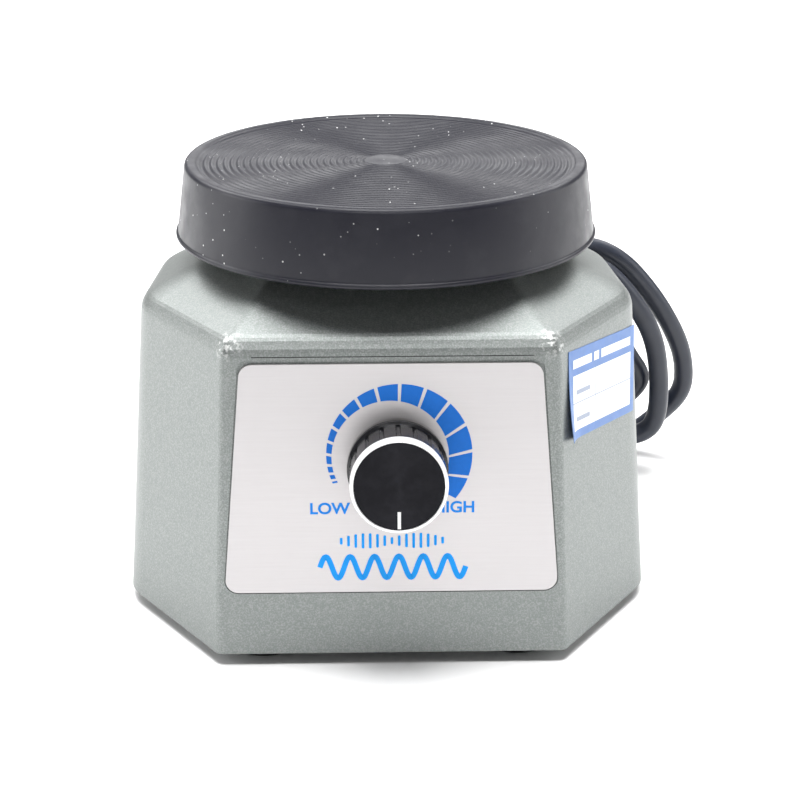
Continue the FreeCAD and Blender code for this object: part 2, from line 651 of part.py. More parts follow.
def make_mains_leads():
    leads = []
    for i, x in enumerate((-38.0, -35.8, -33.6)):
        end_x = -31 + 6 * i
        points = [Vector(GLAND_X - 1.6 + 1.6 * i, CORD_END - 0.4, GLAND_Z), Vector(x + 3, 34, 17),
                  Vector(x, 24, 10), Vector(x, -14, 9.5), Vector(x + 1, -23, 12), Vector(end_x, -28.5, 16),
                  Vector(end_x, -36.5, 16)]
        leads.append(route_tube(points, 0.75))
    return Part.makeCompound(leads)


def make_plug_body():
    """Moulded mains plug that lies on the surface, its pins towards +X."""
    start = PLUG_START.x
    profile = [(0, 0), (4.2, 0), (5.6, 14), (9.2, 20), (9.4, 22), (0, 22)]
    collar = spun(profile)
    collar.rotate(Vector(0, 0, 0), Vector(0, 1, 0), 90)
    block = rounded_box(20, 40, -13, 13, -9.4, 9.4, 5.0)
    block = block.makeFillet(2.0, ring_edges(block, -9.4) + ring_edges(block, 9.4))
    return moved(collar.fuse(block).removeSplitter(), start, PLUG_START.y, PLUG_START.z)


def make_plug_pins():
    pins = []
    for y in (-9.5, 9.5):
        pin = Part.makeCylinder(2.4, 19, Vector(40, y, 0), Vector(1, 0, 0))
        pins.append(moved(pin, PLUG_START.x, PLUG_START.y, PLUG_START.z))
    return Part.makeCompound(pins)


# ---- inspection label ---------------------------------------------------------------------
def make_label():
    """Thin sticker on the flat beside the front, near its top."""
    corner_a, corner_b = Vector(*PLAN[0]), Vector(*PLAN[1])
    along = (corner_b - corner_a).normalize()
    normal = Vector(along.y, -along.x, 0)
    lean = math.degrees(math.atan(DRAFT))
    half, tall = LABEL_WIDTH / 2, LABEL_HEIGHT / 2
    sticker = rounded_box(-half, half, -tall, tall, 0.02, 0.2, 1.6)
    sticker.rotate(Vector(0, 0, 0), UP, LABEL_TURN)
    turn = FreeCAD.Rotation(along, -lean).multiply(FreeCAD.Rotation(along, UP, normal, "ZXY"))
    middle = (corner_a + corner_b) * 0.5
    place = middle - normal * wall_inset(LABEL_Z) + UP * LABEL_Z + along * LABEL_ALONG
    return placed(sticker, place, turn)


# ---- all nodes ----------------------------------------------------------------------------
def make_screws(places, z_seat, length, downward=False):
    return Part.makeCompound([pan_screw(x, y, z_seat, length, downward) for x, y in places])


def build_nodes():
    feet = list(FOOT_PLACES.values())
    mounts = list(MOUNT_PLACES.values())
    armature_holes = [(x, 0) for x in LIMB_PLACES]
    nodes = {
        "housing": make_housing(),
        "front_panel": make_front_panel(),
        "inspection_label": make_label(),
        "base_plate": make_base_plate(),
        "base_screws": make_screws(BOSS_PLACES, FOOT_HEIGHT, 16),
        "foot_screws": make_screws(feet, 1.9, 8),
        "foot_nuts": Part.makeCompound([make_foot_nut(x, y) for x, y in feet]),
        "post_screws": make_screws(mounts, FOOT_HEIGHT, 10),
        "support_posts": Part.makeCompound([make_post(x, y) for x, y in mounts]),
        "core_bracket": make_core_bracket(),
        "bracket_screws": make_screws(BRACKET_HOLES, PLATE_TOP + 2, 6, True),
        "coil_core": make_core(),
        "core_bolts": make_core_bolts(),
        "coil_bobbin": make_bobbin(),
        "coil_winding": make_winding(),
        "neck_gasket": make_neck_gasket(),
        "carrier_plate": make_carrier(),
        "armature": make_armature(),
        "armature_screws": make_screws(armature_holes, STEM_SEAT, 11, True),
        "table_stem": make_stem(),
        "stem_screws": make_screws(STEM_SCREWS, STEM_SEAT + 3.5, 7.4, True),
        "table_disc": make_table_disc(),
        "table_screw": make_table_screw(),
        "rubber_cap": make_rubber_cap(),
        "potentiometer_case": make_pot_case(),
        "potentiometer_terminals": make_pot_terminals(),
        "potentiometer_washer": make_pot_washer(),
        "potentiometer_nut": make_pot_nut(),
        "potentiometer_shaft": make_pot_shaft(),
        "potentiometer_wiper": make_pot_wiper(),
        "knob_skirt": make_knob_skirt(),
        "knob_ring": make_knob_ring(),
        "knob_face": make_knob_face(),
        "knob_pointer": make_knob_pointer(),
        "knob_set_screw": make_set_screw(),
        "control_board": make_board(),
        "board_standoffs": make_standoffs(),
        "board_screws": make_board_screws(),
        "triac_heatsink": make_heatsink(),
        "triac": make_triac(),
        "capacitor": make_capacitor(),
        "terminal_block": make_terminal_block(),
        "earth_screw": make_earth_screw(),
        "mains_leads": make_mains_leads(),
        "strain_relief": make_strain_relief(),
        "cord_inner": make_cord_inner(),
        "cord_hank": make_hank(),
        "cord_tie": make_cord_tie(),
        "plug_body": make_plug_body(),
        "plug_pins": make_plug_pins(),
    }
    for place, (x, y) in FOOT_PLACES.items():
        nodes["foot_" + place] = make_foot(x, y)
    for place, (x, y) in MOUNT_PLACES.items():
        nodes["mount_" + place] = make_rubber_mount(x, y)
    hank = nodes["cord_hank"]
    nodes["cord_lead"] = route_tube(LEAD_ROUTE, CORD_DIAMETER / 2, "cord_lead").cut(hank)
    nodes["cord_tail"] = route_tube(TAIL_ROUTE, CORD_DIAMETER / 2, "cord_tail").cut(hank)
    return nodes


def main():
    os.makedirs("parts", exist_ok=True)
    for name, shape in build_nodes().items():
        shape.translate(FRAME_SHIFT)
        shape.exportStep("parts/%s.step" % name)
        facts = (name, len(shape.Solids), shape.Volume, shape.isValid())
        print("%-24s solids %d volume %9.1f valid %s" % facts)


main()
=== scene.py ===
"""Looks of a round-table laboratory vibrator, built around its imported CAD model.

Lengths are metres in the CAD model's own frame: +Z up, the front panel with its knob faces -Y.
"""
import json
import math

import bmesh
import bpy
from mathutils import Matrix, Vector


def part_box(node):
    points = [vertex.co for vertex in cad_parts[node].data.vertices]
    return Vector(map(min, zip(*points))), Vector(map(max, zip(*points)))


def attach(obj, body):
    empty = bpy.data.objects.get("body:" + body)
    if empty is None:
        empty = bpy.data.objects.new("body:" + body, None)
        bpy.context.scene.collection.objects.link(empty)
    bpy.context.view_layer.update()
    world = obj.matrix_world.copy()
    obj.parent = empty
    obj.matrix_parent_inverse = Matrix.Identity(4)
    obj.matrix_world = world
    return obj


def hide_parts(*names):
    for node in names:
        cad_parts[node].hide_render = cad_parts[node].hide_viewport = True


MM = 0.001

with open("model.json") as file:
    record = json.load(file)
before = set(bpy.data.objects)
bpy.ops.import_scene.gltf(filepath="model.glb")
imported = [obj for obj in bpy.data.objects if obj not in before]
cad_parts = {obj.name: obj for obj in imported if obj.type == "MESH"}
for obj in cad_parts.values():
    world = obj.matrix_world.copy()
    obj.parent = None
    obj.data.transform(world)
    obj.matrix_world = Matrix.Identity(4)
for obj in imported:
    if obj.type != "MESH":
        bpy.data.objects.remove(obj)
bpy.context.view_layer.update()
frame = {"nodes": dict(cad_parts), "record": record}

# ---- places worked out from the frame -----------------------------------------------------
HOUSING_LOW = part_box("housing")[0]
CAP_LOW, CAP_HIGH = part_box("rubber_cap")
AXIS = Vector(((CAP_LOW.x + CAP_HIGH.x) / 2, (CAP_LOW.y + CAP_HIGH.y) / 2, 0))
FRAME_SHIFT = Vector((0, AXIS.y, 0))          # routes are given about the table's axis

DRAFT = 0.0607                                # inward lean of the casting's walls
LEAN = math.atan(DRAFT)
HALF_FRONT = 43.0 * MM                        # casting outline at its foot
HALF_SIDE = 17.5 * MM
HALF_WIDTH = 68.0 * MM
HALF_DEPTH = AXIS.y - HOUSING_LOW.y
FOOT_Z = HOUSING_LOW.z
RIDGE_Z = 82.0 * MM

PANEL_FRONT = 0.2 * MM                        # front panel's surface, out of the front face
CORD_DIAMETER = 5.8 * MM

LABEL_WIDTH, LABEL_HEIGHT = 39.0 * MM, 22.4 * MM
LABEL_Z = 65.0 * MM                           # height of the sticker's middle
LABEL_ALONG = 1.4 * MM                        # its middle, past the middle of the flat
LABEL_TURN = math.radians(-5.5)               # it was stuck on askew


def face_matrix():
    """Front face frame: x across, y up the leaning face, z out of it."""
    up = Vector((0, math.sin(LEAN), math.cos(LEAN)))
    out = Vector((0, -math.cos(LEAN), math.sin(LEAN)))
    foot = Vector((0, HOUSING_LOW.y, FOOT_Z))
    return frame_from(Vector((1, 0, 0)), up, out, foot)


def frame_from(across, up, out, origin):
    """Matrix of a frame, from its three axes and its origin."""
    turn = Matrix((across, up, out)).transposed().to_4x4()
    return Matrix.Translation(origin) @ turn


def label_matrix():
    """Frame of the sticker, from the middle of its lower edge: x along it, y up it, z out of it."""
    corner_a = Vector((HALF_FRONT, -HALF_DEPTH, 0))
    corner_b = Vector((HALF_WIDTH, -HALF_SIDE, 0))
    along = (corner_b - corner_a).normalized()
    normal = Vector((along.y, -along.x, 0))
    out = normal * math.cos(LEAN) + Vector((0, 0, math.sin(LEAN)))
    middle = (corner_a + corner_b) / 2 + along * LABEL_ALONG
    lean_in = normal * DRAFT * (LABEL_Z - FOOT_Z)
    flat = frame_from(along, out.cross(along), out, FRAME_SHIFT + middle - lean_in + Vector((0, 0, LABEL_Z)))
    return flat @ Matrix.Rotation(LABEL_TURN, 4, "Z") @ Matrix.Translation((0, -LABEL_HEIGHT / 2, 0))


FACE = face_matrix()
LABEL = label_matrix()


# ---- mesh helpers -------------------------------------------------------------------------
ON_AXIS = 1e-7


def add_mesh(name, verts, faces, matrix=None, smooth=True):
    mesh = bpy.data.meshes.new(name)
    mesh.from_pydata([tuple(v) for v in verts], [], faces)
    mesh.validate()
    mesh.update()
    if smooth:
        mesh.shade_smooth()
    piece = bpy.data.objects.new(name, mesh)
    if matrix is not None:
        piece.matrix_world = matrix
    bpy.context.scene.collection.objects.link(piece)
    return piece


def lathe(name, profile, segments, matrix=None):
    """Surface of revolution about local Z from (radius, z) points; points on the axis become one."""
    verts, rings = [], []
    for r, z in profile:
        if r < ON_AXIS:
            rings.append([len(verts)])
            verts.append((0, 0, z))
        else:
            start = len(verts)
            for i in range(segments):
                angle = 2 * math.pi * i / segments
                verts.append((r * math.cos(angle), r * math.sin(angle), z))
            rings.append(list(range(start, start + segments)))
    faces = []
    for a, b in zip(rings, rings[1:]):
        for i in range(segments):
            j = (i + 1) % segments
            if len(a) == 1 and len(b) == 1:
                continue
            if len(a) == 1:
                faces.append((a[0], b[i], b[j]))
            elif len(b) == 1:
                faces.append((a[i], b[0], a[j]))
            else:
                faces.append((a[i], b[i], b[j], a[j]))
    piece = add_mesh(name, verts, faces, matrix)
    face_outward(piece)
    return piece


def face_outward(piece):
    bm = bmesh.new()
    bm.from_mesh(piece.data)
    bmesh.ops.recalc_face_normals(bm, faces=bm.faces)
    bm.to_mesh(piece.data)
    bm.free()


def arc(cx, cz, radius, start, end, count):
    """(r, z) points of an arc, angles in degrees from +r towards +z."""
    points = []
    for i in range(count + 1):
        angle = math.radians(start + (end - start) * i / count)
        points.append((cx + radius * math.cos(angle), cz + radius * math.sin(angle)))
    return points


def plate(name, outline, z0, z1, matrix):
    """Thin flat piece from a closed outline of (x, y) points."""
    count = len(outline)
    verts = [(x, y, z0) for x, y in outline] + [(x, y, z1) for x, y in outline]
    faces = [tuple(reversed(range(count))), tuple(range(count, 2 * count))]
    for i in range(count):
        j = (i + 1) % count
        faces.append((i, j, count + j, count + i))
    return add_mesh(name, verts, faces, matrix, smooth=False)


def ribbon(name, centre, width, z0, z1, matrix):
    """Flat stroke of even width along a list of (x, y) points."""
    left, right = [], []
    for i, point in enumerate(centre):
        before, after = centre[max(i - 1, 0)], centre[min(i + 1, len(centre) - 1)]
        run = Vector((after[0] - before[0], after[1] - before[1])).normalized()
        side = Vector((-run.y, run.x)) * width / 2
        left.append((point[0] + side.x, point[1] + side.y))
        right.append((point[0] - side.x, point[1] - side.y))
    count = len(centre)
    verts = [(x, y, z) for z in (z0, z1) for x, y in left + right]
    faces = []
    for i in range(count - 1):
        a, b, c, d = i, i + 1, count + i + 1, count + i
        up = 2 * count
        faces += [(a, b, c, d), (up + d, up + c, up + b, up + a)]
        faces += [(a, up + a, up + b, b), (d, c, up + c, up + d)]
    end = count - 1
    faces += [(0, count, 3 * count, 2 * count), (end, 2 * count + end, 3 * count + end, count + end)]
    piece = add_mesh(name, verts, faces, matrix, smooth=False)
    face_outward(piece)
    return piece


def joined(name, pieces):
    """One piece from several; all share the first one's frame and material."""
    bm = bmesh.new()
    base = pieces[0].matrix_world.inverted()
    for piece in pieces:
        mesh = piece.data.copy()
        mesh.transform(base @ piece.matrix_world)
        bm.from_mesh(mesh)
        bpy.data.meshes.remove(mesh)
    for piece in pieces[1:]:
        bpy.data.objects.remove(piece)
    bm.to_mesh(pieces[0].data)
    bm.free()
    pieces[0].name = name
    return pieces[0]


def rounded_rectangle(x0, x1, y0, y1, radius, count=6):
    corners = [(x1 - radius, y0 + radius, -90), (x1 - radius, y1 - radius, 0),
               (x0 + radius, y1 - radius, 90), (x0 + radius, y0 + radius, 180)]
    points = []
    for cx, cy, start in corners:
        points += arc(cx, cy, radius, start, start + 90, count)
    return points


# ---- material helpers ---------------------------------------------------------------------
class Surface:
    """A node-based material with one Principled shader."""

    def __init__(self, name, color, roughness, metallic=0.0, **sockets):
        self.material = bpy.data.materials.new(name)
        self.material.use_nodes = True
        self.nodes = self.material.node_tree.nodes
        self.links = self.material.node_tree.links
        self.shader = self.nodes["Principled BSDF"]
        self.color = color
        self.set("Base Color", (*color, 1))
        self.set("Roughness", roughness)
        self.set("Metallic", metallic)
        for key, value in sockets.items():
            self.set(key.replace("_", " "), value)
        self.coordinates = self.nodes.new("ShaderNodeTexCoord").outputs["Object"]

    def set(self, socket, value):
        self.shader.inputs[socket].default_value = value

    def stretched(self, scale):
        mapping = self.nodes.new("ShaderNodeMapping")
        mapping.inputs["Scale"].default_value = scale
        self.links.new(self.coordinates, mapping.inputs["Vector"])
        return mapping.outputs["Vector"]

    def noise(self, scale, detail=3.0, roughness=0.55, stretch=None):
        node = self.nodes.new("ShaderNodeTexNoise")
        node.inputs["Scale"].default_value = scale
        node.inputs["Detail"].default_value = detail
        node.inputs["Roughness"].default_value = roughness
        source = self.stretched(stretch) if stretch else self.coordinates
        self.links.new(source, node.inputs["Vector"])
        return node.outputs["Fac"]

    def cells(self, scale):
        node = self.nodes.new("ShaderNodeTexVoronoi")
        node.inputs["Scale"].default_value = scale
        self.links.new(self.coordinates, node.inputs["Vector"])
        return node.outputs["Distance"]

    def ramp(self, source, low, high, to_low=0.0, to_high=1.0):
        node = self.nodes.new("ShaderNodeMapRange")
        limits = {"From Min": low, "From Max": high, "To Min": to_low, "To Max": to_high}
        for socket, value in limits.items():
            node.inputs[socket].default_value = value
        self.links.new(source, node.inputs["Value"])
        return node.outputs["Result"]

    def combined(self, operation, a, b):
        node = self.nodes.new("ShaderNodeMath")
        node.operation = operation
        self.links.new(a, node.inputs[0])
        self.links.new(b, node.inputs[1])
        return node.outputs["Value"]

    def near(self, place, inner, outer):
        """1 at a place in the frame, fading to 0 further off."""
        node = self.nodes.new("ShaderNodeVectorMath")
        node.operation = "DISTANCE"
        self.links.new(self.coordinates, node.inputs[0])
        node.inputs[1].default_value = place
        return self.ramp(node.outputs["Value"], inner, outer, 1.0, 0.0)

    def tint(self, mask, other):
        """Blend the base colour so far towards another where the mask is 1."""
        node = self.nodes.new("ShaderNodeMix")
        node.data_type = "RGBA"
        target = self.shader.inputs["Base Color"]
        if target.is_linked:
            self.links.new(target.links[0].from_socket, node.inputs[6])
        else:
            node.inputs[6].default_value = (*self.color, 1)
        node.inputs[7].default_value = (*other, 1)
        self.links.new(mask, node.inputs[0])
        self.links.new(node.outputs[2], target)
        return self

    def vary_roughness(self, source, low, high):
        self.links.new(self.ramp(source, 0.3, 0.7, low, high), self.shader.inputs["Roughness"])
        return self

    def bump(self, source, distance, strength=1.0):
        node = self.nodes.new("ShaderNodeBump")
        node.inputs["Strength"].default_value = strength
        node.inputs["Distance"].default_value = distance
        target = self.shader.inputs["Normal"]
        if target.is_linked:
            self.links.new(target.links[0].from_socket, node.inputs["Normal"])
        self.links.new(source, node.inputs["Height"])
        self.links.new(node.outputs["Normal"], target)
        return self

    def radial(self):
        """Brushing that runs round the front face's own axis."""
        node = self.nodes.new("ShaderNodeTangent")
        node.direction_type = "RADIAL"
        node.axis = "Y"
        self.links.new(node.outputs["Tangent"], self.shader.inputs["Tangent"])
        return self


# ---- materials ----------------------------------------------------------------------------
def shade(color, factor):
    return tuple(min(1, factor * c) for c in color)


def cast_paint():
    """Hammertone paint, worn bright on the casting's front corners, with a painted highlight there on the
    ridge.
    """
    paint = Surface("cast_paint", (0.19, 0.207, 0.20), 0.42, 0.70)
    mottle = paint.noise(2600, 2.0, 0.6)
    paint.tint(paint.ramp(mottle, 0.42, 0.66), (0.30, 0.315, 0.308))
    paint.tint(paint.ramp(paint.noise(700, 3.0), 0.5, 0.75, 0.0, 0.35), (0.15, 0.167, 0.164))
    # pale patches on the front corners' ridge: worn paint, and a painted highlight where the ridge catches
    # the light
    wear_and_highlight = None
    for side in (-1, 1):
        spot = Vector((side * (HALF_FRONT - 4.0 * MM), HOUSING_LOW.y + 6.5 * MM, RIDGE_Z - 0.5 * MM))
        mask = paint.near(spot, 0.8 * MM, 4.5 * MM)
        wear_and_highlight = mask if wear_and_highlight is None else paint.combined("MAXIMUM", wear_and_highlight, mask)
    rough = paint.ramp(paint.noise(900, 4.0), 0.5, 0.62)
    # the pale colour of the worn patches, which is also the painted ridge highlight
    paint.tint(paint.combined("MULTIPLY", wear_and_highlight, rough), (0.75, 0.76, 0.75))
    paint.vary_roughness(mottle, 0.36, 0.50)
    return paint.bump(mottle, 0.05 * MM, 0.5).bump(paint.noise(240, 2.0), 0.12 * MM, 0.3)


def panel_metal():
    sheet = Surface("panel_metal", (0.52, 0.50, 0.505), 0.34, 0.50)
    brush = sheet.noise(60, 4.0, 0.7, stretch=(1.0, 30.0, 30.0))
    sheet.tint(sheet.ramp(brush, 0.3, 0.8, 0.0, 0.6), (0.58, 0.565, 0.57))
    return sheet.vary_roughness(brush, 0.28, 0.40).bump(brush, 0.01 * MM, 0.3)


def table_rubber():
    """Moulded rubber with dust on it."""
    rubber = Surface("table_rubber", (0.010, 0.010, 0.017), 0.34, Specular_IOR_Level=0.36)
    dust = rubber.ramp(rubber.cells(430), 0.11, 0.07)
    patch = rubber.ramp(rubber.noise(38, 3.0), 0.46, 0.58)
    rubber.tint(rubber.ramp(rubber.noise(90, 5.0), 0.55, 0.8, 0.0, 0.10), (0.09, 0.09, 0.10))
    rubber.tint(rubber.combined("MULTIPLY", dust, patch), (0.65, 0.65, 0.65))
    rubber.vary_roughness(rubber.noise(160, 4.0), 0.30, 0.44)
    return rubber.bump(rubber.noise(2600, 2.0), 0.02 * MM, 0.4)


def plain_rubber(name, color):
    rubber = Surface(name, color, 0.55)
    rubber.tint(rubber.ramp(rubber.noise(250, 4.0), 0.5, 0.8, 0.0, 0.3), shade(color, 2.2))
    return rubber.bump(rubber.noise(2200, 2.0), 0.03 * MM, 0.5)


def moulded(name, color, roughness, grain=0.02):
    plastic = Surface(name, color, roughness)
    plastic.tint(plastic.ramp(plastic.noise(180, 4.0), 0.5, 0.8, 0.0, 0.35), shade(color, 1.5))
    plastic.vary_roughness(plastic.noise(300, 3.0), roughness - 0.05, roughness + 0.08)
    return plastic.bump(plastic.noise(1800, 2.0), grain * MM, 0.4)


def metal(name, color, roughness, grain_stretch=(1.0, 1.0, 1.0), metallic=1.0):
    sheet = Surface(name, color, roughness, metallic)
    grain = sheet.noise(700, 4.0, 0.6, stretch=grain_stretch)
    sheet.tint(sheet.ramp(grain, 0.35, 0.75, 0.0, 0.5), shade(color, 0.78))
    sheet.vary_roughness(grain, roughness - 0.05, roughness + 0.10)
    return sheet.bump(grain, 0.008 * MM, 0.4)


def spun_metal(name, color, roughness):
    disc = Surface(name, color, roughness, 1.0, Anisotropic=0.85)
    disc.tint(disc.ramp(disc.noise(500, 3.0), 0.4, 0.7, 0.0, 0.4), shade(color, 1.6))
    return disc.radial()


def print_ink(name, color):
    ink = Surface(name, color, 0.5, Specular_IOR_Level=0.25)
    return ink.tint(ink.ramp(ink.noise(900, 3.0), 0.45, 0.75, 0.0, 0.25), shade(color, 1.25))


def build_materials():
    finishes = {
        "cast_paint": cast_paint(),
        "panel_metal": panel_metal(),
        "label_film": moulded("label_film", (0.085, 0.19, 0.46), 0.40, 0.005),
        "plated_steel": metal("plated_steel", (0.66, 0.67, 0.68), 0.30, (1.0, 12.0, 1.0)),
        "screw_steel": metal("screw_steel", (0.70, 0.71, 0.72), 0.24),
        "core_steel": metal("core_steel", (0.24, 0.24, 0.25), 0.42, (1.0, 20.0, 1.0)),
        "bobbin_nylon": moulded("bobbin_nylon", (0.78, 0.75, 0.66), 0.45),
        "copper_wire": metal("copper_wire", (0.62, 0.24, 0.10), 0.28, (1.0, 1.0, 25.0)),
        "foot_rubber": plain_rubber("foot_rubber", (0.020, 0.020, 0.022)),
        "table_rubber": table_rubber(),
        "table_metal": metal("table_metal", (0.72, 0.73, 0.74), 0.32),
        "pot_case": metal("pot_case", (0.60, 0.60, 0.58), 0.35),
        "board_laminate": moulded("board_laminate", (0.025, 0.14, 0.05), 0.38),
        "component_case": moulded("component_case", (0.02, 0.02, 0.022), 0.35),
        "knob_black": moulded("knob_black", (0.008, 0.008, 0.010), 0.18, 0.008),
        "knob_bright": metal("knob_bright", (0.95, 0.95, 0.95), 0.30, metallic=0.4),
        "knob_dark_metal": spun_metal("knob_dark_metal", (0.013, 0.013, 0.015), 0.30),
        "pointer_white": print_ink("pointer_white", (0.88, 0.88, 0.88)),
        "cord_sheath": moulded("cord_sheath", (0.013, 0.017, 0.030), 0.38),
        "tie_plastic": moulded("tie_plastic", (0.012, 0.012, 0.013), 0.30),
        "plug_plastic": moulded("plug_plastic", (0.016, 0.016, 0.019), 0.34),
        "pin_metal": metal("pin_metal", (0.76, 0.73, 0.66), 0.20),
    }
    return {slot: surface.material for slot, surface in finishes.items()}


def finish_piece(piece, slot, body, material=None):
    """Material and body of a new piece; the material is its record slot's own unless another is given."""
    piece.data.materials.clear()
    piece.data.materials.append(material or MATERIALS[slot])
    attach(piece, body)
    return piece


def finish_cad_nodes():
    """Every CAD node takes the finish of its own slot in the record."""
    for entry in frame["record"]["subparts"]:
        node = frame["nodes"][entry["node"]]
        node.data.materials.clear()
        node.data.materials.append(MATERIALS[entry["material_slot"]])


MATERIALS = build_materials()
BLUE_SCALE = print_ink("scale_blue", (0.003, 0.155, 0.63)).material
BLUE_WORD = print_ink("word_blue", (0.006, 0.22, 0.74)).material
BLUE_MARK = print_ink("mark_blue", (0.0, 0.31, 0.88)).material
# painted shadow: dark colour of the strip laid under the recess's upper lip
RECESS_SHADOW_DARK = print_ink("painted_recess_shadow", (0.008, 0.008, 0.009)).material
LABEL_WHITE = print_ink("label_white", (0.84, 0.85, 0.87)).material
LABEL_GREY = print_ink("label_grey", (0.36, 0.40, 0.50)).material


# ---- camera, floor and light --------------------------------------------------------------
def make_camera():
    data = bpy.data.cameras.new("camera")
    data.sensor_width = 36.0
    data.lens = 108.2
    data.clip_start = 0.01
    data.clip_end = 50.0
    camera = bpy.data.objects.new("camera", data)
    camera.location = (-0.01299, -0.59347, 0.2618)
    forward = Vector((0.02614, 0.94174, -0.33529))
    camera.rotation_mode = "QUATERNION"
    camera.rotation_quaternion = forward.to_track_quat("-Z", "Y")
    bpy.context.scene.collection.objects.link(camera)
    bpy.context.scene.camera = camera


def make_floor():
    floor = lathe("floor", [(0, 0), (0.5, 0), (2.0, 0), (6.0, 0)], 64)
    for polygon in floor.data.polygons:
        polygon.use_smooth = False
    cloth = Surface("floor_white", (0.84, 0.84, 0.84), 0.8, Specular_IOR_Level=0.2)
    cloth.tint(cloth.ramp(cloth.noise(6, 2.0), 0.4, 0.7, 0.0, 0.3), (0.86, 0.86, 0.86))
    floor.data.materials.append(cloth.material)


def area_light(name, place, target, size, power, size_y=None, shine_only=False):
    data = bpy.data.lights.new(name, "AREA")
    data.energy = power
    data.size = size
    if size_y:
        data.shape = "RECTANGLE"
        data.size_y = size_y
    light = bpy.data.objects.new(name, data)
    light.location = place
    light.rotation_mode = "QUATERNION"
    light.rotation_quaternion = (Vector(target) - Vector(place)).to_track_quat("-Z", "Y")
    light.visible_diffuse = not shine_only
    bpy.context.scene.collection.objects.link(light)


def make_lights():
    """A broad light overhead, paler ones from the sides and behind, and a dim room in front."""
    bpy.context.scene.view_settings.view_transform = "Standard"
    world = bpy.data.worlds.new("studio")
    world.use_nodes = True
    world.node_tree.nodes["Background"].inputs["Color"].default_value = (1, 1, 1, 1)
    world.node_tree.nodes["Background"].inputs["Strength"].default_value = 0.22
    bpy.context.scene.world = world
    sun = bpy.data.lights.new("overhead", "SUN")
    sun.energy = 3.0
    sun.angle = math.radians(40)
    overhead = bpy.data.objects.new("overhead", sun)
    overhead.rotation_mode = "QUATERNION"
    overhead.rotation_quaternion = Vector((0, -0.10, -1)).to_track_quat("-Z", "Y")
    overhead.visible_glossy = False
    bpy.context.scene.collection.objects.link(overhead)
    area_light("left", (-0.95, 0.10, 0.38), (0, 0, 0.06), 0.6, 3.9, 0.6)
    area_light("right", (0.95, 0.10, 0.38), (0, 0, 0.06), 0.6, 2.8, 0.6)
    area_light("high_left", (-0.75, 0.80, 1.05), (0, 0, 0.1), 0.7, 9.0)
    area_light("high_right", (0.75, 0.80, 1.05), (0, 0, 0.1), 0.7, 7.5)
    area_light("top", (0.0, 0.05, 1.2), (0, 0, 0.1), 0.8, 15.0)
    area_light("back", (0.1, 1.6, 0.62), (0, 0, 0.1), 1.2, 4.0, 0.5)
    area_light("front_high", (0.0, -0.95, 0.85), (0, 0, 0.08), 0.9, 4.8, 0.35, shine_only=True)


# ---- mains cord ---------------------------------------------------------------------------
# Points about the table's axis, on the surface the object stands on.
LEAD_ROUTE = [(-0.030, 0.0863, 0.022), (-0.030, 0.103, 0.022), (-0.025, 0.121, 0.0185),
              (-0.012, 0.134, 0.0125), (0.006, 0.1385, 0.007), (0.024, 0.134, 0.0038),
              (0.040, 0.122, 0.0036), (0.058, 0.104, 0.0036), (0.076, 0.087, 0.005)]
TAIL_ROUTE = [(-0.005, 0.0825, 0.047), (-0.0075, 0.0855, 0.028), (-0.018, 0.087, 0.012),
              (-0.034, 0.088, 0.0042), (-0.050, 0.0935, 0.0036), (-0.0615, 0.105, 0.0036),
              (-0.066, 0.121, 0.0036), (-0.062, 0.137, 0.0036), (-0.0505, 0.1485, 0.005),
              (-0.035, 0.1535, 0.0085), (-0.016, 0.1535, 0.010), (0.004, 0.1535, 0.010)]
HANK_ORIGIN = Vector((0.044, 0.080, 0.0))
HANK_LEAN = math.radians(11.3)
# Each turn of the hank: left, right, bottom, top, depth towards the wall, the radius of its lower
# right fold and the size of its upper right bend, in millimetres, the last as a share.
TURNS = [(-52.5, 47.1, 15.2, 70.8, -5.9, 8.0, 1.0), (-52.5, 38.2, 12.4, 73.0, 5.9, 8.0, 0.86),
         (-46.5, 33.0, 15.0, 66.0, 0.0, 19.0, 1.0), (-46.5, 24.0, 12.5, 62.0, -5.9, 19.0, 1.0),
         (-49.0, 20.0, 7.0, 66.0, -11.8, 19.0, 1.0)]


def in_hank(across, up, depth):
    """A place in the hank's own plane, given in millimetres."""
    up_axis = Vector((0, -math.sin(HANK_LEAN), math.cos(HANK_LEAN)))
    wall_axis = Vector((0, -math.cos(HANK_LEAN), -math.sin(HANK_LEAN)))
    return HANK_ORIGIN + Vector((across, 0, 0)) * MM + (up_axis * up + wall_axis * depth) * MM


def turn_points(left, right, bottom, top, depth, fold, bend):
    """Control points of one turn: along the bottom, up the right end, back over the top, down the left."""
    middle = (bottom + 0.59 * fold + top - 31 * bend) / 2
    outline = [(left + 26, bottom), (-14, bottom), (right - 1.45 * fold, bottom),
               (right - 0.59 * fold, bottom), (right, bottom + 0.59 * fold), (right, middle),
               (right - 3 * bend, top - 31 * bend), (right - 11 * bend, top - 17 * bend),
               (right - 22 * bend, top - 4 * bend), (right - 34, top),
               (left + 27, top), (left + 11, top), (left, top - 11), (left, top - 27)]
    return [in_hank(across, up, depth) for across, up in outline]


LEAD_RISE = Vector((0.0835, 0.0835, 0.0125))   # the lead comes up off the surface here
FIRST_ON_RIGHT = 4        # it joins the first turn on its way up the right end


def cord_route():
    points = [Vector(p) for p in LEAD_ROUTE] + [LEAD_RISE]
    for number, turn in enumerate(TURNS):
        own = turn_points(*turn)
        points += own[FIRST_ON_RIGHT:] if number == 0 else own
        if number + 1 < len(TURNS):
            ahead = TURNS[number + 1]
            left, bottom = (turn[0] + ahead[0]) / 2, (turn[2] + ahead[2]) / 2
            points.append(in_hank(turn[0], bottom + 27, turn[4]))
            points.append(in_hank(left, bottom + 11, turn[4] * 0.7 + ahead[4] * 0.3))
            points.append(in_hank(left + 11, bottom, turn[4] * 0.3 + ahead[4] * 0.7))
    points += [Vector(p) for p in TAIL_ROUTE]
    return [p + FRAME_SHIFT for p in points]


